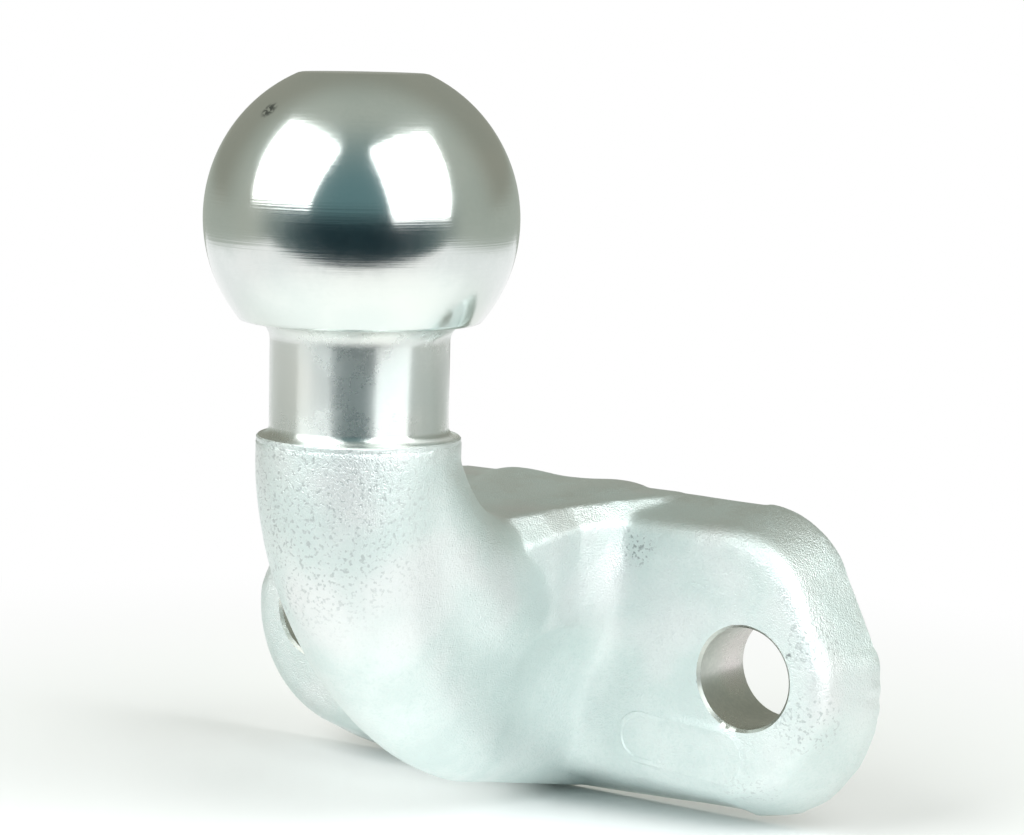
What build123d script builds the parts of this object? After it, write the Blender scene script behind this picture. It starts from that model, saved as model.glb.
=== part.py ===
from build123d import *
from math import cos, pi, radians, sin, sqrt
import os

# Flange-type tow ball, one steel forging. Millimetres, +Z up.
# The origin lies on the mounting face, midway between the two bolt holes. The ball stands towards -Y.

# Turned ball, neck and collar
ball_d = 50.0
ball_height = 75.0
ball_reach = 60.0
ball_flat = 22.9
ball_ledge = 16.2
neck_d = 28.6
neck_top_r = 3.0
collar_d = 32.0
collar_height = 40.6
collar_r = 1.6

# Bolt flange with two holes
hole_pitch = 90.0
hole_d = 17.0
hole_chamfer = 0.5
flange_t = 14.5
flange_w = 126.0
flange_top = 27.2
flange_bottom = -27.2
shoulder_in = 11.8
shoulder_r = 18.0
side_height = 2.7
side_r = 12.0
foot_r = 24.0
top_inset = 3.0
side_inset = 3.5
foot_inset = 7.0
flange_edge_r = 4.0

# Forged elbow between collar and flange
elbow_d = 32.8
bend_r = 11.0
saddle_height = 25.5
belly_height = -21.0
leg_half_w = 13.6
leg_spread = 0.42
crown_power = 4.5
keel_power = 2.4
root_r = 8.0
root_near = 1.6
root_step = 0.3
root_flare = (0.4, 3.2, 9.0, 10.0)

# Bare raised pad on one ear
pad_l = 25.0
pad_w = 9.2
pad_t = 0.5
pad_x = 33.2
pad_z = -13.2
pad_turn = -4.0

# Sections of the elbow
section_points = 12
bend_steps = 4


def elbow_section(plane, half_w, half_h, share, flare=0.0):
    """Closed smooth section: round at share 0, a flat-topped keel at share 1, widened at its sides by the flare."""
    points = []
    for k in range(section_points):
        turn = 2 * pi * k / section_points
        power = 2 + ((crown_power if sin(turn) > 0 else keel_power) - 2) * share
        radius = (abs(cos(turn)) ** power + abs(sin(turn)) ** power) ** (-1 / power)
        along = radius * sin(turn)
        width = half_w * (1 + leg_spread * share * along) + flare
        points.append((width * radius * cos(turn), half_h * along))
    return plane * make_face(Spline(*points, periodic=True))


def hollow_round(start, corner, end):
    """Quarter round from start to end, tangent to the lines that meet in the corner."""
    weight = 4 / 3 * (sqrt(2) - 1)
    start, corner, end = Vector(start), Vector(corner), Vector(end)
    return Bezier(start, start + (corner - start) * weight, end + (corner - end) * weight, end)


def turned_head():
    """Ball with its flat, neck and collar, revolved about the ball's axis."""
    ball_r = ball_d / 2
    neck_r = neck_d / 2
    flat_r = sqrt(ball_r**2 - ball_flat**2)
    ledge_r = sqrt(ball_r**2 - ball_ledge**2)
    top = ball_height + ball_flat
    ledge = ball_height - ball_ledge
    root = collar_height - collar_r
    flat = Line((0, top), (flat_r, top))
    ball = ThreePointArc((flat_r, top), (ball_r, ball_height), (ledge_r, ledge))
    lip = Line((ledge_r, ledge), (neck_r + neck_top_r, ledge))
    neck_top = hollow_round(lip @ 1, (neck_r, ledge), (neck_r, ledge - neck_top_r))
    neck = Line(neck_top @ 1, (neck_r, collar_height + collar_r))
    flare = hollow_round(neck @ 1, (neck_r, collar_height), (neck_r + collar_r, collar_height))
    rim = Polyline(flare @ 1, (collar_d / 2, collar_height), (collar_d / 2, root), (0, root), (0, top))
    outline = make_face(flat + ball + lip + neck_top + neck + flare + rim)
    return Pos(0, -ball_reach, 0) * revolve(Plane.XZ * outline, Axis.Z)


def bend_pivot():
    """Middle of the bend's inner round, in Y and Z."""
    return -ball_reach + elbow_d / 2 + bend_r, saddle_height + bend_r


def forged_bend():
    """Round upright under the collar and the bend, which deepens into the keeled leg."""
    elbow_r = elbow_d / 2
    pivot_y, pivot_z = bend_pivot()
    sections = []
    for k in range(bend_steps + 1):
        share = k / bend_steps
        turn = radians(90 * share)
        depth = elbow_d + (saddle_height - belly_height - elbow_d) * share**2
        middle = bend_r + depth / 2
        plane = Plane(
            origin=(0, pivot_y - middle * cos(turn), pivot_z - middle * sin(turn)),
            x_dir=(1, 0, 0),
            z_dir=(0, -sin(turn), cos(turn)),
        )
        half_w = elbow_r + (leg_half_w - elbow_r) * share**2
        sections.append(elbow_section(plane, half_w, depth / 2, share))
    upright = extrude(sections[0], collar_height - pivot_z)
    return upright + loft(sections)


def forged_leg():
    """Keeled leg from the bend to the mounting face, flared at its root into the flange."""
    pivot_y, _ = bend_pivot()
    root = min(root_r, (-pivot_y - flange_t) / 2)
    stations = [(pivot_y, 0)]
    stations += zip((-flange_t - root, -flange_t - root_near, -flange_t / 2, root_step), root_flare)
    sections = []
    for y, flare in stations:
        share = 1 - y / pivot_y
        top = saddle_height + (flange_top + root_step - saddle_height) * share
        bottom = belly_height + (flange_bottom - root_step - belly_height) * share
        plane = Plane(origin=(0, y, (top + bottom) / 2), x_dir=(1, 0, 0), z_dir=(0, -1, 0))
        sections.append(elbow_section(plane, leg_half_w, (top - bottom) / 2, 1, flare))
    return loft(sections)


def flange_outline(top, side, foot):
    """Outline of the flange, drawn in from its back edge by the given amounts."""
    half_w = flange_w / 2 - side
    corners = [
        (half_w - shoulder_in + side / 2, flange_top - top, shoulder_r - side),
        (half_w, side_height, side_r - side),
        (half_w, flange_bottom + foot, foot_r - side),
    ]
    right = [(x, z) for x, z, _ in corners]
    left = [(-x, z) for x, z in reversed(right)]
    outline = make_face(Polyline(*right, *left, close=True))
    for x, z, radius in corners:
        for end in (1, -1):
            corner = outline.vertices().sort_by_distance((end * x, z))[0]
            outline = fillet(corner, radius)
    return outline


def flange_plate():
    """Plate with rounded ears, drafted from the mounting face to the front, with a rounded front edge."""
    back = Plane.XZ * flange_outline(0, 0, 0)
    front = Plane.XZ.offset(flange_t) * flange_outline(top_inset, side_inset, foot_inset)
    plate = loft([back, front], ruled=True)
    face = plate.faces().sort_by(Axis.Y)[0]
    return fillet(face.edges(), flange_edge_r)


def bolt_hole():
    """Cutter for one bolt hole, chamfered at both faces."""
    radius = hole_d / 2
    rim = radius + hole_chamfer
    outline = Polyline(
        (0, 0),
        (rim, 0),
        (radius, hole_chamfer),
        (radius, flange_t - hole_chamfer),
        (rim, flange_t),
        (0, flange_t),
        close=True,
    )
    return Rot(90, 0, 0) * revolve(Plane.XZ * make_face(outline), Axis.Z)


def ear_pad():
    """Low raised lozenge on the front of one ear."""
    shape = Pos(pad_x, pad_z) * Rot(0, 0, pad_turn) * SlotOverall(pad_l, pad_w)
    return extrude(Plane.XZ.offset(flange_t - pad_t) * shape, 2 * pad_t)


def tow_ball():
    """The whole forging, trimmed flat at the mounting face and drilled."""
    body = turned_head() + forged_bend() + forged_leg() + flange_plate() + ear_pad()
    behind = Box(2 * flange_w, flange_t, 2 * flange_w, align=(Align.CENTER, Align.MIN, Align.CENTER))
    body -= behind
    for end in (1, -1):
        body -= Pos(end * hole_pitch / 2, 0, 0) * bolt_hole()
    return body


if __name__ == "__main__":
    os.makedirs("parts", exist_ok=True)
    export_step(tow_ball(), "parts/tow_ball.step")
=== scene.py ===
import logging
import math
from dataclasses import dataclass, field
from enum import Enum

import bmesh
import bpy
from mathutils import Matrix, Vector


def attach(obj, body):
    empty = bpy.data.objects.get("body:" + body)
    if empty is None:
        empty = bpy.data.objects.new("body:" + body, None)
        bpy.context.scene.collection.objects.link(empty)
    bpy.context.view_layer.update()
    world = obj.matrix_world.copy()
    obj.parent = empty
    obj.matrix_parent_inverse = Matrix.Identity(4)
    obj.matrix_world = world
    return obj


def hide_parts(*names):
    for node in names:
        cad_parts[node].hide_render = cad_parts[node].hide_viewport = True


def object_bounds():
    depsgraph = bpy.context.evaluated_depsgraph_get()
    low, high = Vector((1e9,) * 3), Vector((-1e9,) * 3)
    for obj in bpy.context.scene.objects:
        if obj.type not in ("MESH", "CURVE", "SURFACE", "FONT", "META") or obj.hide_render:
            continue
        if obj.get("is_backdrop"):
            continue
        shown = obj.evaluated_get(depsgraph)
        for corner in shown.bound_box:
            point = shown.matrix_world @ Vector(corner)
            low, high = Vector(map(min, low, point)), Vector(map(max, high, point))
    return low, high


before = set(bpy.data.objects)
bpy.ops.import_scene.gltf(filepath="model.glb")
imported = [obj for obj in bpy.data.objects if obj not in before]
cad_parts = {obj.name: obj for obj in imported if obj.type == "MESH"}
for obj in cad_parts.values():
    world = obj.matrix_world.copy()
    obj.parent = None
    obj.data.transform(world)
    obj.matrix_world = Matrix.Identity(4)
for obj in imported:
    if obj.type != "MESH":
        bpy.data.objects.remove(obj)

LOG = logging.getLogger("tow_ball")
NODE = "tow_ball"
BODY = "root"

MM = 0.001
# Points closer than this are one, in metres
WELD = 1e-6
# Points this close to the mounting face lie on it, in metres
BACK_GAP = 1e-5
IMAGE_WIDTH = 1024
SENSOR_WIDTH = 36.0
# Watts that give a lamp of one square metre a radiance of 1
LAMP_WATTS = 4
WHITE = (1.0, 1.0, 1.0, 1.0)

# Stretches of the zinc's noise that turn into tone, bloom, flecks and pits
TONE_BAND = (0.34, 0.66)
BLOOM_BAND = (0.5, 0.75)
BLOOM_SHARE = 0.7
FLECK_BAND = (0.53, 0.66)
FLECK_DEPTH = 0.25
PIT_BAND = (0.38, 0.52)
QUARTER_TURN = 0.25

Socket = bpy.types.NodeSocket
Value = float | Socket
Rgb = tuple[float, float, float]
Colour = tuple[float, float, float, float] | Socket
Profile = list[tuple[float, float]]


class Skin(Enum):
    """Material slots of the forging, in the order of its mesh."""

    FORGED = 0
    TURNED = 1
    MILLED = 2
    DRILLED = 3
    NECK = 4


# Node helpers

def place(tree: bpy.types.NodeTree, kind: str, inputs: dict[str | int, object] | None = None,
          **settings: object) -> bpy.types.Node:
    """Add a node to a tree.

    Args:
        tree: Tree that gets the node.
        kind: Type name of the node.
        inputs: Values or sockets for its inputs, by name or number.
        settings: Properties of the node itself.

    Returns:
        The new node.
    """
    node = tree.nodes.new(kind)
    for name, value in settings.items():
        setattr(node, name, value)
    for key, value in (inputs or {}).items():
        if isinstance(value, Socket):
            tree.links.new(value, node.inputs[key])
        else:
            node.inputs[key].default_value = value
    return node


def math_node(tree: bpy.types.NodeTree, operation: str, *values: Value, clamp: bool = False) -> Socket:
    """Add a Math node.

    Args:
        tree: Tree that gets the node.
        operation: Name of the operation.
        values: Numbers or sockets for its inputs.
        clamp: Whether the result is held between 0 and 1.

    Returns:
        The result's socket.
    """
    inputs = dict(enumerate(values))
    return place(tree, "ShaderNodeMath", inputs, operation=operation, use_clamp=clamp).outputs[0]


def ramp(tree: bpy.types.NodeTree, value: Socket, low: Value, high: Value, out_low: float = 0.0,
         out_high: float = 1.0) -> Socket:
    """Add a smooth step from one range to another.

    Args:
        tree: Tree that gets the node.
        value: Socket to read.
        low: Value that gives out_low.
        high: Value that gives out_high.
        out_low: Result at low.
        out_high: Result at high.

    Returns:
        The result's socket.
    """
    inputs = {0: value, 1: low, 2: high, 3: out_low, 4: out_high}
    return place(tree, "ShaderNodeMapRange", inputs, interpolation_type="SMOOTHSTEP").outputs[0]


def mix_colour(tree: bpy.types.NodeTree, share: Value, first: Colour, second: Colour) -> Socket:
    """Add a colour mix.

    Args:
        tree: Tree that gets the node.
        share: Share of the second colour.
        first: Colour at 0.
        second: Colour at 1.

    Returns:
        The mixed colour's socket.
    """
    return place(tree, "ShaderNodeMix", {0: share, 6: first, 7: second}, data_type="RGBA").outputs[2]


def noise(tree: bpy.types.NodeTree, where: Socket, scale: Value, detail: float = 2.0,
          rough: float = 0.5) -> Socket:
    """Add a noise texture.

    Args:
        tree: Tree that gets the node.
        where: Socket of the coordinates.
        scale: Features per metre.
        detail: Octaves.
        rough: Weight of the finer octaves.

    Returns:
        The noise value's socket.
    """
    inputs = {"Vector": where, "Scale": scale, "Detail": detail, "Roughness": rough}
    return place(tree, "ShaderNodeTexNoise", inputs).outputs[0]


def vector_node(tree: bpy.types.NodeTree, operation: str, inputs: dict[str | int, object]) -> bpy.types.Node:
    """Add a Vector Math node.

    Args:
        tree: Tree that gets the node.
        operation: Name of the operation.
        inputs: Values or sockets for its inputs, by name or number.

    Returns:
        The new node.
    """
    return place(tree, "ShaderNodeVectorMath", inputs, operation=operation)


def bare_material(name: str) -> bpy.types.Material:
    """Make a material with an empty tree.

    Args:
        name: Name of the material.

    Returns:
        The material.
    """
    material = bpy.data.materials.new(name)
    material.use_nodes = True
    material.node_tree.nodes.clear()
    return material


# Mesh helpers

def new_object(name: str, mesh: bpy.types.Mesh) -> bpy.types.Object:
    """Link a mesh to the scene as an object at the origin.

    Args:
        name: Name of the object.
        mesh: Its mesh.

    Returns:
        The object.
    """
    obj = bpy.data.objects.new(name, mesh)
    bpy.context.scene.collection.objects.link(obj)
    return obj


def finished(work: bmesh.types.BMesh, name: str) -> bpy.types.Mesh:
    """Turn an edited mesh into a plain one and free it.

    Args:
        work: The edited mesh.
        name: Name of the plain mesh.

    Returns:
        The plain mesh.
    """
    mesh = bpy.data.meshes.new(name)
    work.to_mesh(mesh)
    work.free()
    return mesh


def skin_rings(work: bmesh.types.BMesh, rings: list[list[bmesh.types.BMVert]]) -> None:
    """Close a row of rings into a solid whose faces point outwards.

    Args:
        work: Mesh that holds the rings.
        rings: Points of each ring, in step with each other.
    """
    for first, second in zip(rings, rings[1:]):
        for k in range(len(first)):
            after = (k + 1) % len(first)
            work.faces.new((first[k], first[after], second[after], second[k]))
    work.faces.new(rings[0][::-1])
    work.faces.new(rings[-1])
    bmesh.ops.recalc_face_normals(work, faces=work.faces)


def baked(obj: bpy.types.Object) -> bpy.types.Mesh:
    """Turn an object's evaluated shape into a plain mesh and drop its modifiers.

    Args:
        obj: Object with modifiers.

    Returns:
        The object's new mesh.
    """
    graph = bpy.context.evaluated_depsgraph_get()
    mesh = bpy.data.meshes.new_from_object(obj.evaluated_get(graph))
    obj.modifiers.clear()
    obj.data = mesh
    return mesh


def drop(*objects: bpy.types.Object) -> None:
    """Remove helper objects from the file."""
    for obj in objects:
        bpy.data.objects.remove(obj, do_unlink=True)


def outward(mesh: bpy.types.Mesh) -> None:
    """Merge a closed mesh's doubles and turn its faces outwards.

    Args:
        mesh: Closed mesh.
    """
    work = bmesh.new()
    work.from_mesh(mesh)
    bmesh.ops.remove_doubles(work, verts=work.verts, dist=WELD)
    bmesh.ops.recalc_face_normals(work, faces=work.faces)
    work.to_mesh(mesh)
    work.free()


def combine(base: bpy.types.Object, tool: bpy.types.Object, operation: str) -> None:
    """Apply a solid operation to an object and remove the tool.

    Args:
        base: Object that stays.
        tool: Object that is joined or taken away.
        operation: UNION or DIFFERENCE.
    """
    step = base.modifiers.new(operation, "BOOLEAN")
    step.operation = operation
    step.solver = "MANIFOLD"
    step.object = tool
    baked(base)
    drop(tool)


# Trees of geometry nodes

def group_tree(name: str, inputs: dict[str, tuple[str, object]]) -> bpy.types.NodeTree:
    """Make an empty geometry tree with named inputs.

    Args:
        name: Name of the tree.
        inputs: Socket type and default value by name.

    Returns:
        The tree.
    """
    tree = bpy.data.node_groups.new(name, "GeometryNodeTree")
    tree.interface.new_socket("Geometry", in_out="INPUT", socket_type="NodeSocketGeometry")
    for label, (kind, value) in inputs.items():
        socket = tree.interface.new_socket(label, in_out="INPUT", socket_type=kind)
        if value is not None:
            socket.default_value = value
    tree.interface.new_socket("Geometry", in_out="OUTPUT", socket_type="NodeSocketGeometry")
    return tree


def close_tree(tree: bpy.types.NodeTree, geometry: Socket, material: Socket) -> None:
    """End a tree in Realize Instances and Set Material.

    Args:
        tree: Tree to end.
        geometry: Socket of the finished geometry.
        material: Socket of the material.
    """
    real = place(tree, "GeometryNodeRealizeInstances", {0: geometry})
    dressed = place(tree, "GeometryNodeSetMaterial", {"Geometry": real.outputs[0], "Material": material})
    place(tree, "NodeGroupOutput", {0: dressed.outputs[0]})


def use_tree(obj: bpy.types.Object, tree: bpy.types.NodeTree, values: dict[str, object]) -> bpy.types.Mesh:
    """Run a geometry tree on an object and keep the result as its mesh.

    Args:
        obj: Object that the tree works on.
        tree: The tree.
        values: Input values by name.

    Returns:
        The object's new mesh.
    """
    step = obj.modifiers.new(tree.name, "NODES")
    step.node_group = tree
    for item in tree.interface.items_tree:
        if item.in_out == "INPUT" and item.name in values:
            step[item.identifier] = values[item.name]
    return baked(obj)


def lathe_tree() -> bpy.types.NodeTree:
    """Tree that turns a profile of radius and height about an upright axis.

    Returns:
        The tree, with the inputs Segments, Reach and Material.
    """
    tree = group_tree("Lathe", {
        "Segments": ("NodeSocketInt", 96),
        "Reach": ("NodeSocketFloat", 0.0),
        "Material": ("NodeSocketMaterial", None),
    })
    given = place(tree, "NodeGroupInput").outputs
    profile = given["Geometry"]
    count = place(tree, "GeometryNodeAttributeDomainSize", {0: profile}).outputs["Point Count"]
    columns = math_node(tree, "ADD", given["Segments"], 1)
    grid = place(tree, "GeometryNodeMeshGrid", {"Vertices X": columns, "Vertices Y": count})
    index = place(tree, "GeometryNodeInputIndex").outputs[0]
    column = math_node(tree, "FLOOR", math_node(tree, "DIVIDE", index, count))
    row = math_node(tree, "MODULO", index, count)
    spot = place(tree, "GeometryNodeInputPosition").outputs[0]
    sample = place(tree, "GeometryNodeSampleIndex", data_type="FLOAT_VECTOR", domain="POINT")
    tree.links.new(profile, sample.inputs["Geometry"])
    tree.links.new(spot, sample.inputs["Value"])
    tree.links.new(row, sample.inputs["Index"])
    parts = place(tree, "ShaderNodeSeparateXYZ", {0: sample.outputs[0]}).outputs
    turn = math_node(tree, "MULTIPLY", math_node(tree, "DIVIDE", column, given["Segments"]), 2 * math.pi)
    across = math_node(tree, "MULTIPLY", parts[0], math_node(tree, "COSINE", turn))
    along = math_node(tree, "MULTIPLY_ADD", parts[0], math_node(tree, "SINE", turn), given["Reach"])
    point = place(tree, "ShaderNodeCombineXYZ", {0: across, 1: along, 2: parts[2]}).outputs[0]
    turned = place(tree, "GeometryNodeSetPosition", {"Geometry": grid.outputs[0], "Position": point})
    merged = place(tree, "GeometryNodeMergeByDistance", {"Geometry": turned.outputs[0], "Distance": WELD})
    close_tree(tree, merged.outputs[0], given["Material"])
    return tree


def forged_tree() -> bpy.types.NodeTree:
    """Tree that eases the valleys of a forging and gives its skin a slight unevenness.

    Returns:
        The tree, with the inputs Ease, Valley X, Valley Y, Valley Width, Valley Fade, Valley Top, Valley Full,
        Uneven, Wave Scale and Material.
    """
    tree = group_tree("Forged_Skin", {
        "Ease": ("NodeSocketInt", 8),
        "Valley X": ("NodeSocketFloat", 0.02),
        "Valley Y": ("NodeSocketFloat", -0.016),
        "Valley Width": ("NodeSocketFloat", 0.009),
        "Valley Fade": ("NodeSocketFloat", 1.5),
        "Valley Top": ("NodeSocketFloat", 0.0205),
        "Valley Full": ("NodeSocketFloat", 0.0135),
        "Uneven": ("NodeSocketFloat", 0.0002),
        "Wave Scale": ("NodeSocketFloat", 160.0),
        "Material": ("NodeSocketMaterial", None),
    })
    given = place(tree, "NodeGroupInput").outputs
    spot = place(tree, "GeometryNodeInputPosition").outputs[0]
    parts = place(tree, "ShaderNodeSeparateXYZ", {0: spot}).outputs
    aside = math_node(tree, "SUBTRACT", math_node(tree, "ABSOLUTE", parts[0]), given["Valley X"])
    before = math_node(tree, "SUBTRACT", parts[1], given["Valley Y"])
    squares = [math_node(tree, "MULTIPLY", length, length) for length in (aside, before)]
    far = math_node(tree, "SQRT", math_node(tree, "ADD", *squares))
    widths = math_node(tree, "DIVIDE", far, given["Valley Width"])
    near = math_node(tree, "SUBTRACT", given["Valley Fade"], widths, clamp=True)
    near = math_node(tree, "MULTIPLY", near, ramp(tree, parts[2], given["Valley Top"], given["Valley Full"]))
    smooth = place(tree, "GeometryNodeBlurAttribute", {"Iterations": given["Ease"]}, data_type="FLOAT_VECTOR")
    tree.links.new(spot, next(socket for socket in smooth.inputs if socket.enabled and socket.name == "Value"))
    eased = next(socket for socket in smooth.outputs if socket.enabled)
    pull = vector_node(tree, "SUBTRACT", {0: eased, 1: spot}).outputs[0]
    step = vector_node(tree, "SCALE", {0: pull, "Scale": near}).outputs[0]
    soft = place(tree, "GeometryNodeSetPosition", {"Geometry": given["Geometry"], "Offset": step})
    normal = place(tree, "GeometryNodeInputNormal").outputs[0]
    wave = noise(tree, spot, given["Wave Scale"], 3.0)
    height = math_node(tree, "MULTIPLY", math_node(tree, "SUBTRACT", wave, 0.5), given["Uneven"])
    lift = vector_node(tree, "SCALE", {0: normal, "Scale": height}).outputs[0]
    rough = place(tree, "GeometryNodeSetPosition", {"Geometry": soft.outputs[0], "Offset": lift})
    close_tree(tree, rough.outputs[0], given["Material"])
    return tree


# Finishes

def shader_group(name: str, inputs: dict[str, float], outputs: tuple[str, ...]) -> bpy.types.NodeTree:
    """Make an empty shader group with named sockets.

    Args:
        name: Name of the group.
        inputs: Default value of each input by name.
        outputs: Names of the values that it puts out.

    Returns:
        The group.
    """
    tree = bpy.data.node_groups.new(name, "ShaderNodeTree")
    tree.interface.new_socket("Vector", in_out="INPUT", socket_type="NodeSocketVector")
    for label, value in inputs.items():
        socket = tree.interface.new_socket(label, in_out="INPUT", socket_type="NodeSocketFloat")
        socket.default_value = value
    for label in outputs:
        tree.interface.new_socket(label, in_out="OUTPUT", socket_type="NodeSocketFloat")
    return tree


def plate_group() -> bpy.types.NodeTree:
    """Shader group for the uneven tone of a zinc plate.

    Returns:
        The group, with a slow cloud, a fine mottle, a bloom of the passivation and a mask of grey flecks.
    """
    scales = {"Cloud": 90.0, "Mottle": 1500.0, "Bloom": 45.0, "Fleck": 1500.0}
    details = {"Cloud": 3.0, "Mottle": 2.0, "Bloom": 2.0, "Fleck": 3.0}
    inputs = {f"{label} Scale": scale for label, scale in scales.items()}
    tree = shader_group("Zinc_Plate", inputs, tuple(scales))
    given = place(tree, "NodeGroupInput").outputs
    values = {}
    for label, detail in details.items():
        values[label] = noise(tree, given["Vector"], given[f"{label} Scale"], detail)
    values["Fleck"] = ramp(tree, values["Fleck"], *FLECK_BAND)
    place(tree, "NodeGroupOutput", values)
    return tree


def grit_group() -> bpy.types.NodeTree:
    """Shader group for the height of a blasted or brushed grain.

    Returns:
        The group, with a fine grain and a coarse grain.
    """
    tree = shader_group("Grit_Grain", {"Fine Scale": 2600.0, "Coarse Scale": 700.0}, ("Fine", "Coarse"))
    given = place(tree, "NodeGroupInput").outputs
    fine = noise(tree, given["Vector"], given["Fine Scale"], rough=0.6)
    coarse = noise(tree, given["Vector"], given["Coarse Scale"])
    place(tree, "NodeGroupOutput", {"Fine": fine, "Coarse": coarse})
    return tree


@dataclass(frozen=True)
class Plate:
    """Shared groups that every finish is made from."""

    tone: bpy.types.NodeTree
    grain: bpy.types.NodeTree


@dataclass(frozen=True)
class Stain:
    """A patch of wear on a skin, at full strength over its core. Place and size in millimetres."""

    centre: tuple[float, float, float]
    radius: float
    strength: float
    core: float = 0.35

    def mask(self, tree: bpy.types.NodeTree, where: Socket) -> Socket:
        """Soft mask of the patch.

        Args:
            tree: Tree that gets the nodes.
            where: Socket of the coordinates.

        Returns:
            The mask's socket.
        """
        centre = tuple(value * MM for value in self.centre)
        away = vector_node(tree, "DISTANCE", {0: where, 1: centre}).outputs["Value"]
        return ramp(tree, away, self.radius * MM, self.core * self.radius * MM, 0.0, self.strength)


def all_stains(tree: bpy.types.NodeTree, where: Socket, stains: tuple[Stain, ...], base: float) -> Value:
    """Largest of several patches.

    Args:
        tree: Tree that gets the nodes.
        where: Socket of the coordinates.
        stains: The patches.
        base: Value outside them.

    Returns:
        The mask's socket, or the base where there are no patches.
    """
    total = base
    for stain in stains:
        total = math_node(tree, "MAXIMUM", total, stain.mask(tree, where))
    return total


@dataclass(frozen=True)
class Finish:
    """One finish of the zinc plate. The grain's depth is in metres."""

    name: str
    light: Rgb
    dark: Rgb
    tint: Rgb
    smooth: float
    rough: float
    grain: float
    coarse: float = 0.5
    fine_scale: float = 2600.0
    stretch: tuple[float, float, float] = (1.0, 1.0, 1.0)
    along: float = 0.0
    mottle: float = 0.35
    stains: tuple[Stain, ...] = ()
    stain_base: float = 0.0
    fleck: Rgb = (0.43, 0.48, 0.48)
    pits: tuple[Stain, ...] = ()
    pit: Rgb = (0.10, 0.12, 0.12)

    def material(self, plate: Plate) -> bpy.types.Material:
        """Build the material.

        Args:
            plate: Shared groups.

        Returns:
            The material.
        """
        made = bare_material(self.name)
        tree = made.node_tree
        where = place(tree, "ShaderNodeTexCoord").outputs["Object"]
        tone = place(tree, "ShaderNodeGroup", node_tree=plate.tone)
        tree.links.new(where, tone.inputs["Vector"])
        cloud = math_node(tree, "MULTIPLY", tone.outputs["Cloud"], 1.0 - self.mottle)
        share = math_node(tree, "MULTIPLY_ADD", tone.outputs["Mottle"], self.mottle, cloud)
        share = ramp(tree, share, *TONE_BAND)
        stained = all_stains(tree, where, self.stains, self.stain_base)
        fleck = math_node(tree, "MULTIPLY", tone.outputs["Fleck"], stained)
        skin = place(tree, "ShaderNodeBsdfPrincipled", {
            "Base Color": self.colour(tree, where, tone, share, fleck),
            "Roughness": ramp(tree, share, 0.0, 1.0, self.rough, self.smooth),
            "Metallic": 1.0,
            "Normal": self.relief(tree, where, plate, fleck),
        })
        if self.along:
            skin.inputs["Anisotropic"].default_value = self.along
            skin.inputs["Anisotropic Rotation"].default_value = QUARTER_TURN
            turned = place(tree, "ShaderNodeTangent", direction_type="RADIAL", axis="Z")
            tree.links.new(turned.outputs[0], skin.inputs["Tangent"])
        place(tree, "ShaderNodeOutputMaterial", {"Surface": skin.outputs[0]})
        return made

    def colour(self, tree: bpy.types.NodeTree, where: Socket, tone: bpy.types.Node, share: Socket,
               fleck: Socket) -> Socket:
        """Colour of the plate with its bloom, flecks and pits.

        Args:
            tree: Tree that gets the nodes.
            where: Socket of the coordinates.
            tone: Node of the plate's tone.
            share: Share of the light tone.
            fleck: Mask of the flecks.

        Returns:
            The colour's socket.
        """
        bloom = ramp(tree, tone.outputs["Bloom"], *BLOOM_BAND, 0.0, BLOOM_SHARE)
        colour = mix_colour(tree, share, (*self.dark, 1.0), (*self.light, 1.0))
        colour = mix_colour(tree, bloom, colour, (*self.tint, 1.0))
        colour = mix_colour(tree, fleck, colour, (*self.fleck, 1.0))
        if self.pits:
            pitted = all_stains(tree, where, self.pits, 0.0)
            pitted = math_node(tree, "MULTIPLY", pitted, ramp(tree, tone.outputs["Mottle"], *PIT_BAND))
            colour = mix_colour(tree, pitted, colour, (*self.pit, 1.0))
        return colour

    def relief(self, tree: bpy.types.NodeTree, where: Socket, plate: Plate, fleck: Socket) -> Socket:
        """Normal of the grain, with the flecks a little sunk.

        Args:
            tree: Tree that gets the nodes.
            where: Socket of the coordinates.
            plate: Shared groups.
            fleck: Mask of the flecks.

        Returns:
            The normal's socket.
        """
        lines = place(tree, "ShaderNodeMapping", {"Vector": where, "Scale": self.stretch}).outputs[0]
        grain = place(tree, "ShaderNodeGroup", node_tree=plate.grain)
        tree.links.new(lines, grain.inputs["Vector"])
        grain.inputs["Fine Scale"].default_value = self.fine_scale
        coarse = math_node(tree, "MULTIPLY", grain.outputs["Coarse"], self.coarse)
        height = math_node(tree, "MULTIPLY_ADD", grain.outputs["Fine"], 1.0 - self.coarse, coarse)
        height = math_node(tree, "SUBTRACT", height, math_node(tree, "MULTIPLY", fleck, FLECK_DEPTH))
        bump = place(tree, "ShaderNodeBump", {"Strength": 1.0, "Distance": self.grain, "Height": height})
        return bump.outputs[0]


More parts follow.
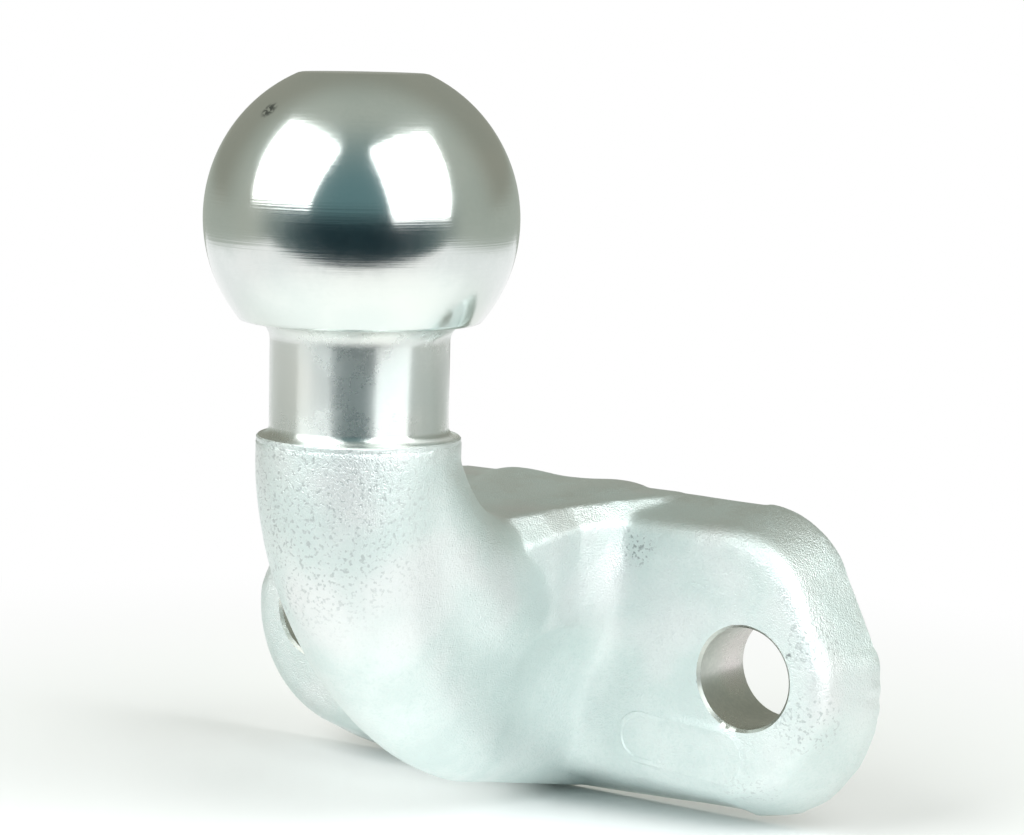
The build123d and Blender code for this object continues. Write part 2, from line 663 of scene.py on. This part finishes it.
FINISHES: dict[Skin, Finish] = {
    Skin.FORGED: Finish(
        "forged_zinc",
        light=(0.82, 0.885, 0.87),
        dark=(0.72, 0.805, 0.79),
        tint=(0.86, 0.86, 0.865),
        smooth=0.40,
        rough=0.50,
        grain=0.00022,
        coarse=0.3,
        fine_scale=3600.0,
        stains=(
            Stain((3, -76, 30), 26, 0.62),
            Stain((-8, -72, 22), 20, 0.5),
            Stain((24, -14.5, 19.5), 4.5, 1.0),
            Stain((58, -13, 8), 8, 0.6),
            Stain((57, -13, -6), 8, 0.6),
            Stain((47, -14, -21), 8, 0.4),
        ),
        stain_base=0.1,
        pits=(
            Stain((-3.5, -71, 0.5), 1.0, 0.9),
            Stain((-1, -69, -4), 0.9, 0.9),
            Stain((-5, -68, -6), 1.2, 0.9),
            Stain((2, -66, -8), 0.8, 0.7),
            Stain((36.6, -14.5, -1.5), 0.8, 0.8),
            Stain((53.5, -14.5, 5), 0.8, 0.7),
        ),
    ),
    Skin.TURNED: Finish(
        "turned_zinc",
        light=(0.79, 0.83, 0.81),
        dark=(0.73, 0.78, 0.76),
        tint=(0.80, 0.81, 0.78),
        smooth=0.13,
        rough=0.18,
        grain=0.000018,
        coarse=0.3,
        fine_scale=3200.0,
        stretch=(0.01, 0.01, 1.0),
        along=0.6,
        mottle=0.2,
        stains=(
            Stain((14, -81, 72), 5, 0.35),
            Stain((17, -77.5, 74), 4, 0.4),
            Stain((20, -71, 84), 7, 0.35),
        ),
        pits=(Stain((-4.5, -77.5, 92), 1.9, 0.9),),
    ),
    Skin.MILLED: Finish(
        "milled_zinc",
        light=(0.76, 0.80, 0.78),
        dark=(0.68, 0.74, 0.72),
        tint=(0.80, 0.80, 0.76),
        smooth=0.24,
        rough=0.34,
        grain=0.00001,
        coarse=0.4,
        stretch=(0.03, 1.0, 1.0),
    ),
    Skin.DRILLED: Finish(
        "drilled_zinc",
        light=(0.66, 0.68, 0.63),
        dark=(0.54, 0.57, 0.53),
        tint=(0.72, 0.66, 0.66),
        smooth=0.26,
        rough=0.36,
        grain=0.00001,
        coarse=0.4,
        stretch=(0.05, 1.0, 0.05),
    ),
    Skin.NECK: Finish(
        "turned_neck_zinc",
        light=(0.80, 0.84, 0.82),
        dark=(0.70, 0.75, 0.73),
        tint=(0.80, 0.80, 0.76),
        smooth=0.25,
        rough=0.31,
        grain=0.000016,
        coarse=0.3,
        stretch=(0.01, 0.01, 1.0),
        along=0.96,
        mottle=0.2,
    ),
}


# Pieces of the forging

def turned_solid(name: str, profile: Profile, segments: int, reach: float, tree: bpy.types.NodeTree,
                 material: bpy.types.Material) -> bpy.types.Object:
    """Turn a profile into a closed solid.

    Args:
        name: Name of the object.
        profile: Radius and height of each point in millimetres.
        segments: Facets of a full turn.
        reach: Place of the axis along Y in millimetres.
        tree: Lathe tree.
        material: Material of the solid.

    Returns:
        The solid's object.
    """
    mesh = bpy.data.meshes.new(name)
    points = [(radius * MM, 0.0, height * MM) for radius, height in profile]
    mesh.from_pydata(points, [(k, k + 1) for k in range(len(points) - 1)], [])
    obj = new_object(name, mesh)
    solid = use_tree(obj, tree, {"Segments": segments, "Reach": reach * MM, "Material": material})
    outward(solid)
    return obj


@dataclass
class TurnedHead:
    """Ball, neck and collar, turned about the upright axis of the ball. Sizes in millimetres."""

    reach: float = -60.0
    centre: float = 75.0
    ball_r: float = 25.0
    flat: float = 22.9
    flat_edge: float = 0.35
    ledge: float = 16.2
    ledge_edge: float = 0.4
    edge_turn: float = 0.012
    neck_r: float = 14.3
    neck_top_r: float = 3.0
    collar_z: float = 40.6
    collar_r: float = 16.3
    collar_flare: float = 1.6
    collar_edge: float = 0.25
    collar_wall: float = 0.8
    tenon_in: float = 1.2
    tenon_drop: float = 1.6
    root_z: float = 34.0
    ball_steps: int = 72
    round_steps: int = 8
    segments: int = 160

    def profile(self) -> Profile:
        """Radius and height of the turned profile, from the flat down to the root.

        Returns:
            The points in millimetres.
        """
        flat_turn = math.asin(self.flat / self.ball_r)
        ledge_turn = -math.asin(self.ledge / self.ball_r)
        span = ledge_turn - flat_turn + 2 * self.edge_turn
        points = [(0.0, self.centre + self.flat)]
        points.append((self.ball_r * math.cos(flat_turn) - self.flat_edge, self.centre + self.flat))
        for k in range(self.ball_steps + 1):
            turn = flat_turn - self.edge_turn + span * k / self.ball_steps
            points.append((self.ball_r * math.cos(turn), self.centre + self.ball_r * math.sin(turn)))
        ledge_z = self.centre - self.ledge
        ledge_r = self.ball_r * math.cos(ledge_turn)
        tenon_r = self.collar_r - self.tenon_in
        points.append((ledge_r - self.ledge_edge, ledge_z))
        points += self.hollow(self.neck_top_r, ledge_z - self.neck_top_r, 1)
        points += self.hollow(self.collar_flare, self.collar_z + self.collar_flare, -1)
        points.append((self.collar_r - self.collar_edge, self.collar_z))
        points.append((self.collar_r, self.collar_z - self.collar_edge))
        points.append((self.collar_r, self.collar_z - self.collar_wall))
        points.append((tenon_r, self.collar_z - self.tenon_drop))
        points.append((tenon_r, self.root_z))
        points.append((0.0, self.root_z))
        return points

    def hollow(self, radius: float, middle: float, side: int) -> Profile:
        """Points of a hollow quarter round against the neck.

        Args:
            radius: Radius of the round.
            middle: Height of the round's centre.
            side: 1 above the neck, -1 below it.

        Returns:
            The points, from top to bottom.
        """
        points = []
        for k in range(self.round_steps + 1):
            turn = math.pi / 2 * k / self.round_steps
            out = self.neck_r + radius - radius * math.cos(turn)
            points.append((out, middle + side * radius * math.sin(turn)))
        return points[::-1] if side > 0 else points

    def build(self, tree: bpy.types.NodeTree, material: bpy.types.Material) -> bpy.types.Object:
        """Turn the head.

        Args:
            tree: Lathe tree.
            material: Finish of the head.

        Returns:
            The head's object.
        """
        return turned_solid("head", self.profile(), self.segments, self.reach, tree, material)


@dataclass
class BoltHoles:
    """The two drilled holes of the flange. Sizes in millimetres."""

    pitch: float = 90.0
    radius: float = 8.5
    chamfer: float = 0.5
    depth: float = 14.5
    over: float = 2.0
    plug_wall: float = 0.4
    segments: int = 96

    def centres(self) -> list[float]:
        """Places of the two axes along X."""
        return [self.pitch / 2, -self.pitch / 2]

    def plug(self) -> Profile:
        """Profile of a plug that fills a hole flush with the flange's front."""
        wide = self.radius + self.chamfer + self.plug_wall
        return [(0.0, self.depth), (wide, self.depth), (wide, -self.over), (0.0, -self.over)]

    def cutter(self) -> Profile:
        """Profile of the drill and its two countersinks.

        Returns:
            Radius and depth of each point.
        """
        wide = self.radius + self.chamfer + self.over
        return [
            (0.0, self.depth + self.over),
            (wide, self.depth + self.over),
            (self.radius, self.depth - self.chamfer),
            (self.radius, self.chamfer),
            (wide, -self.over),
            (0.0, -self.over),
        ]

    def build(self, profile: Profile, centre: float, tree: bpy.types.NodeTree,
              material: bpy.types.Material) -> bpy.types.Object:
        """Turn a profile about a hole's axis.

        Args:
            profile: Radius and depth from the mounting face.
            centre: Place of the axis along X.
            tree: Lathe tree.
            material: Material of the piece.

        Returns:
            The piece's object.
        """
        obj = turned_solid("drill", profile, self.segments, 0.0, tree, material)
        lay = Matrix.Rotation(math.pi / 2, 4, "X")
        obj.data.transform(Matrix.Translation((centre * MM, 0.0, 0.0)) @ lay)
        return obj


@dataclass
class LegCap:
    """Flat top of the leg with its bevelled edges. Sizes in millimetres.

    Each station has its place along Y, its top, its half width and its bevel.
    """

    low: float = 6.0
    stations: tuple[tuple[float, float, float, float], ...] = (
        (-39.0, 25.3, 11.5, 6.0),
        (-34.0, 25.4, 15.6, 4.2),
        (-28.0, 25.9, 16.8, 3.6),
        (-22.0, 26.2, 17.4, 3.2),
        (-17.0, 26.5, 19.4, 3.2),
        (-12.0, 26.8, 23.0, 3.6),
        (-6.0, 27.1, 26.0, 3.6),
        (3.0, 27.2, 27.0, 3.6),
    )

    def build(self) -> bpy.types.Mesh:
        """Skin the cap over its stations.

        Returns:
            The closed mesh.
        """
        work = bmesh.new()
        rings = []
        for y, top, side, bevel in self.stations:
            outline = [(side, self.low), (side, top - bevel), (side - bevel, top)]
            outline += [(-x, z) for x, z in reversed(outline)]
            rings.append([work.verts.new((x * MM, y * MM, z * MM)) for x, z in outline])
        skin_rings(work, rings)
        return finished(work, "cap")


@dataclass
class EarPad:
    """Bare raised lozenge with a rim, on the front of one ear. Sizes in millimetres.

    Each ring has its inset and its height over the face.
    """

    length: float = 25.0
    width: float = 9.2
    x: float = 33.2
    z: float = -13.2
    turn: float = 4.0
    face: float = -14.5
    rings: tuple[tuple[float, float], ...] = ((0.0, -1.0), (0.0, 0.1), (0.3, 0.5), (1.0, 0.5), (1.35, 0.2))
    corners: int = 16

    def outline(self, inset: float) -> Profile:
        """Lozenge with round ends.

        Args:
            inset: How far it is drawn in.

        Returns:
            The points along the length and the width.
        """
        radius = self.width / 2 - inset
        half = (self.length - self.width) / 2
        points = []
        for k in range(self.corners):
            turn = -math.pi / 2 + math.pi * k / (self.corners - 1)
            points.append((half + radius * math.cos(turn), radius * math.sin(turn)))
        return points + [(-x, -z) for x, z in points]

    def build(self) -> bpy.types.Object:
        """Skin the pad.

        Returns:
            The pad's object.
        """
        work = bmesh.new()
        lean = math.radians(self.turn)
        rings = []
        for inset, height in self.rings:
            ring = []
            for x, z in self.outline(inset):
                side = self.x + x * math.cos(lean) + z * math.sin(lean)
                up = self.z - x * math.sin(lean) + z * math.cos(lean)
                ring.append(work.verts.new((side * MM, (self.face - height) * MM, up * MM)))
            rings.append(ring)
        skin_rings(work, rings)
        return new_object("pad", finished(work, "pad"))


@dataclass
class Forging:
    """The whole tow ball, one piece of steel. Sizes in millimetres."""

    head: TurnedHead = field(default_factory=TurnedHead)
    holes: BoltHoles = field(default_factory=BoltHoles)
    cap: LegCap = field(default_factory=LegCap)
    pad: EarPad = field(default_factory=EarPad)
    voxel: float = 0.65
    cut_z: float = 40.2
    over: float = 3.0
    mill: float = 300.0
    ease: int = 45
    uneven: float = 0.14
    sharp: float = 32.0
    back_gap: float = 0.01
    rim_gap: float = 0.02
    ledge_gap: float = 0.05
    head_gap: float = 1.0

    def build(self, finishes: dict[Skin, bpy.types.Material]) -> bpy.types.Object:
        """Forge, turn, mill and drill the piece.

        Args:
            finishes: Material of each skin.

        Returns:
            The finished object.
        """
        lathe = lathe_tree()
        forged = finishes[Skin.FORGED]
        body = self.blank(lathe, forged)
        use_tree(body, forged_tree(), {"Ease": self.ease, "Uneven": self.uneven * MM, "Material": forged})
        LOG.info("forged skin: %d faces", len(body.data.polygons))
        combine(body, self.behind(), "DIFFERENCE")
        combine(body, self.pad.build(), "UNION")
        for x in self.holes.centres():
            combine(body, self.holes.build(self.holes.cutter(), x, lathe, forged), "DIFFERENCE")
        combine(body, self.head.build(lathe, finishes[Skin.TURNED]), "UNION")
        self.dress(body, finishes)
        return body

    def blank(self, lathe: bpy.types.NodeTree, forged: bpy.types.Material) -> bpy.types.Object:
        """Forging before its tools: no head, no holes, and the leg's cap in one skin with it.

        Args:
            lathe: Lathe tree.
            forged: Finish of the forging.

        Returns:
            The forging's object.
        """
        body = self.rough_shape()
        plugs = [self.holes.build(self.holes.plug(), x, lathe, forged) for x in self.holes.centres()]
        join = bmesh.new()
        for mesh in (body.data, *(plug.data for plug in plugs), self.cap.build()):
            join.from_mesh(mesh)
        join.to_mesh(body.data)
        join.free()
        drop(*plugs)
        step = body.modifiers.new("Remesh", "REMESH")
        step.mode = "VOXEL"
        step.voxel_size = self.voxel * MM
        baked(body)
        return body

    def rough_shape(self) -> bpy.types.Object:
        """Copy the CAD solid without its head, with its back drawn out past the mounting face.

        Returns:
            The copy's object.
        """
        work = bmesh.new()
        work.from_mesh(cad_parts[NODE].data)
        bmesh.ops.remove_doubles(work, verts=work.verts, dist=WELD)
        everything = work.verts[:] + work.edges[:] + work.faces[:]
        level = (0, 0, self.cut_z * MM)
        bmesh.ops.bisect_plane(work, geom=everything, plane_co=level, plane_no=(0, 0, 1), clear_outer=True)
        rim = [edge for edge in work.edges if edge.is_boundary]
        bmesh.ops.holes_fill(work, edges=rim)
        for vert in work.verts:
            if vert.co.y > -BACK_GAP:
                vert.co.y = self.over * MM
        bmesh.ops.recalc_face_normals(work, faces=work.faces)
        return new_object("forging", finished(work, "rough"))

    def behind(self) -> bpy.types.Object:
        """Block that mills the back flat.

        Returns:
            The block's object.
        """
        size = self.mill * MM
        work = bmesh.new()
        bmesh.ops.create_cube(work, size=size)
        bmesh.ops.translate(work, verts=work.verts, vec=(0.0, size / 2, 0.0))
        return new_object("mill", finished(work, "mill"))

    def dress(self, obj: bpy.types.Object, finishes: dict[Skin, bpy.types.Material]) -> None:
        """Give each face of the forging the skin of its place.

        Args:
            obj: The forging.
            finishes: Material of each skin.
        """
        mesh = obj.data
        mesh.materials.clear()
        for skin in Skin:
            mesh.materials.append(finishes[skin])
        for face in mesh.polygons:
            face.material_index = self.skin_at(face.center / MM).value
        mesh.shade_smooth()
        mesh.set_sharp_from_angle(angle=math.radians(self.sharp))

    def skin_at(self, point: Vector) -> Skin:
        """Skin of the forging at a point.

        Args:
            point: Point of the surface in millimetres.

        Returns:
            The skin.
        """
        if point.y > -self.back_gap:
            return Skin.MILLED
        for x in self.holes.centres():
            if math.hypot(point.x - x, point.z) < self.holes.radius + self.holes.chamfer + self.rim_gap:
                return Skin.DRILLED
        away = math.hypot(point.x, point.y - self.head.reach)
        if point.z > self.head.collar_z - self.rim_gap and away < self.head.ball_r + self.head_gap:
            ledge_z = self.head.centre - self.head.ledge
            return Skin.TURNED if point.z > ledge_z - self.ledge_gap else Skin.NECK
        return Skin.FORGED


# Studio

@dataclass(frozen=True)
class Softbox:
    """A soft lamp that faces the ball. Metres."""

    name: str
    direction: tuple[float, float, float]
    width: float
    height: float
    radiance: float
    distance: float = 0.7

    def build(self, target: Vector) -> None:
        """Hang the lamp.

        Args:
            target: Point that the lamp faces.
        """
        lamp = bpy.data.lights.new(self.name, "AREA")
        lamp.shape = "RECTANGLE"
        lamp.size = self.width
        lamp.size_y = self.height
        lamp.energy = self.radiance * LAMP_WATTS * self.width * self.height
        obj = bpy.data.objects.new(self.name, lamp)
        away = Vector(self.direction).normalized()
        obj.location = target + away * self.distance
        obj.rotation_euler = away.to_track_quat("Z", "Y").to_euler()
        obj.visible_camera = False
        bpy.context.scene.collection.objects.link(obj)


def seen(tree: bpy.types.NodeTree) -> Socket:
    """Mask of the rays that show the background.

    Args:
        tree: Tree that gets the nodes.

    Returns:
        The mask's socket.
    """
    path = place(tree, "ShaderNodeLightPath").outputs
    first = math_node(tree, "MAXIMUM", path["Is Camera Ray"], path["Is Transmission Ray"])
    return math_node(tree, "MAXIMUM", first, path["Is Glossy Ray"])


@dataclass(frozen=True)
class Floor:
    """Pale floor, which keeps the shadow and turns white away from the piece. Metres."""

    half: float = 0.5
    narrow: float = 0.84
    apron: float = 0.18
    middle: tuple[float, float] = (0.0, -0.03)
    clear: tuple[float, float] = (0.09, 0.24)
    pale: Rgb = (0.94, 0.94, 0.94)

    def build(self, level: float, front: float, target: Vector) -> None:
        """Lay the floor.

        Args:
            level: Height of the floor.
            front: Turn of its front edge in degrees.
            target: Point that its front edge is measured from.
        """
        work = bmesh.new()
        bmesh.ops.create_grid(work, x_segments=1, y_segments=1, size=self.half)
        turn = Matrix.Rotation(math.radians(front), 4, "Z")
        ahead = Matrix.Translation((0.0, self.half - self.apron, 0.0))
        middle = Matrix.Translation((target.x, target.y, level))
        shape = Matrix.Diagonal((self.narrow, 1.0, 1.0, 1.0))
        bmesh.ops.transform(work, matrix=middle @ turn @ ahead @ shape, verts=work.verts)
        mesh = finished(work, "floor")
        mesh.materials.append(self.material(level))
        new_object("floor", mesh)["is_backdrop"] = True

    def material(self, level: float) -> bpy.types.Material:
        """Pale floor that is plain white where it is seen away from the piece.

        Args:
            level: Height of the floor.

        Returns:
            The material.
        """
        made = bare_material("floor_white")
        tree = made.node_tree
        where = place(tree, "ShaderNodeTexCoord").outputs["Object"]
        spot = vector_node(tree, "DISTANCE", {0: where, 1: (*self.middle, level)}).outputs["Value"]
        share = math_node(tree, "MULTIPLY", ramp(tree, spot, *self.clear), seen(tree))
        pale = place(tree, "ShaderNodeBsdfDiffuse", {"Color": (*self.pale, 1.0)})
        white = place(tree, "ShaderNodeEmission", {"Color": WHITE, "Strength": 1.0})
        both = place(tree, "ShaderNodeMixShader", {0: share, 1: pale.outputs[0], 2: white.outputs[0]})
        place(tree, "ShaderNodeOutputMaterial", {"Surface": both.outputs[0]})
        return made


@dataclass(frozen=True)
class Cloth:
    """Grey cloth round the table, darker in front, which only the metal and the soft light see. Metres."""

    radius: float = 2.0
    fineness: int = 4
    side: Rgb = (0.43, 0.46, 0.41)
    back: Rgb = (0.31, 0.315, 0.265)
    front: Rgb = (0.12, 0.22, 0.235)
    low: Rgb = (0.012, 0.03, 0.038)
    front_band: tuple[float, float] = (0.1, 0.95)
    low_band: tuple[float, float] = (0.3, -0.05)
    back_band: tuple[float, float] = (0.0, -0.6)
    back_rise: tuple[float, float] = (0.02, 0.2)

    def build(self, front: float) -> None:
        """Hang the cloth.

        Args:
            front: Turn of the dark front in degrees.
        """
        work = bmesh.new()
        bmesh.ops.create_icosphere(work, subdivisions=self.fineness, radius=self.radius)
        mesh = finished(work, "room")
        mesh.materials.append(self.material(math.radians(front)))
        obj = new_object("room", mesh)
        obj.visible_camera = False
        obj.visible_shadow = False
        obj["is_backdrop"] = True

    def material(self, turn: float) -> bpy.types.Material:
        """Glow of the cloth by its direction.

        Args:
            turn: Turn of the dark front in radians.

        Returns:
            The material.
        """
        made = bare_material("room_cloth")
        tree = made.node_tree
        where = place(tree, "ShaderNodeTexCoord").outputs["Object"]
        way = vector_node(tree, "NORMALIZE", {0: where}).outputs[0]
        facing = (math.sin(turn), -math.cos(turn), 0.0)
        ahead = vector_node(tree, "DOT_PRODUCT", {0: way, 1: facing}).outputs["Value"]
        height = place(tree, "ShaderNodeSeparateXYZ", {0: way}).outputs[2]
        front = ramp(tree, ahead, *self.front_band)
        low = math_node(tree, "MULTIPLY", front, ramp(tree, height, *self.low_band))
        rise = ramp(tree, height, *self.back_rise)
        back = math_node(tree, "MULTIPLY", ramp(tree, ahead, *self.back_band), rise)
        colour = mix_colour(tree, back, (*self.side, 1.0), (*self.back, 1.0))
        colour = mix_colour(tree, front, colour, (*self.front, 1.0))
        colour = mix_colour(tree, low, colour, (*self.low, 1.0))
        glow = place(tree, "ShaderNodeEmission", {"Color": colour, "Strength": 1.0})
        place(tree, "ShaderNodeOutputMaterial", {"Surface": glow.outputs[0]})
        return made


@dataclass
class Studio:
    """Floor, soft lamps, cloth, white surroundings and the camera. Metres, with the focal length in pixels."""

    floor_z: float
    floor: Floor = field(default_factory=Floor)
    cloth: Cloth = field(default_factory=Cloth)
    front: float = 36.0
    target: tuple[float, float, float] = (0.0, -0.06, 0.075)
    dim: Rgb = (0.4, 0.43, 0.4)
    eye: tuple[float, float, float] = (0.30893154, -0.4504612, 0.10739273)
    look: tuple[float, float, float] = (-0.57674, 0.80704, -0.1267)
    roll: float = 1.20845
    focal: float = 3153.575
    clip: float = 0.01
    softboxes: tuple[Softbox, ...] = (
        Softbox("softbox_left", (-0.33, -0.75, 0.575), 0.66, 0.62, 2.9),
        Softbox("softbox_right", (0.845, -0.12, 0.52), 0.62, 0.72, 2.9),
    )

    def build(self) -> None:
        """Set up the whole studio."""
        bpy.context.scene.view_settings.view_transform = "Standard"
        target = Vector(self.target)
        for box in self.softboxes:
            box.build(target)
        self.floor.build(self.floor_z, self.front, target)
        self.cloth.build(self.front)
        self.world()
        self.camera()

    def world(self) -> None:
        """Make the surroundings white where they are seen and dim as a light."""
        world = bpy.data.worlds.new("studio")
        bpy.context.scene.world = world
        world.use_nodes = True
        tree = world.node_tree
        tree.nodes.clear()
        dim = place(tree, "ShaderNodeBackground", {"Color": (*self.dim, 1.0), "Strength": 1.0})
        white = place(tree, "ShaderNodeBackground", {"Color": WHITE, "Strength": 1.0})
        both = place(tree, "ShaderNodeMixShader", {0: seen(tree), 1: dim.outputs[0], 2: white.outputs[0]})
        place(tree, "ShaderNodeOutputWorld", {"Surface": both.outputs[0]})

    def camera(self) -> None:
        """Set the camera at the photograph's angle."""
        back = -Vector(self.look).normalized()
        right = Vector((0.0, 0.0, 1.0)).cross(back).normalized()
        up = back.cross(right)
        turn = math.radians(self.roll)
        side = math.cos(turn) * right + math.sin(turn) * up
        top = -math.sin(turn) * right + math.cos(turn) * up
        data = bpy.data.cameras.new("camera")
        data.sensor_fit = "HORIZONTAL"
        data.sensor_width = SENSOR_WIDTH
        data.lens = self.focal / IMAGE_WIDTH * SENSOR_WIDTH
        data.clip_start = self.clip
        obj = bpy.data.objects.new("camera", data)
        facing = Matrix((side, top, back)).transposed().to_4x4()
        obj.matrix_world = Matrix.Translation(self.eye) @ facing
        bpy.context.scene.collection.objects.link(obj)
        bpy.context.scene.camera = obj


def main() -> None:
    """Build the forging and the studio."""
    logging.basicConfig(level=logging.INFO, format="%(name)s: %(message)s")
    cad_box = [list(corner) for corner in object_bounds()]
    plate = Plate(plate_group(), grit_group())
    finishes = {skin: finish.material(plate) for skin, finish in FINISHES.items()}
    forging = Forging().build(finishes)
    forging.name = "tow_ball_forging"
    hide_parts(NODE)
    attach(forging, BODY)
    LOG.info("%s: %d faces", forging.name, len(forging.data.polygons))
    Studio(floor_z=cad_box[0][2]).build()


if __name__ == "__main__":
    main()
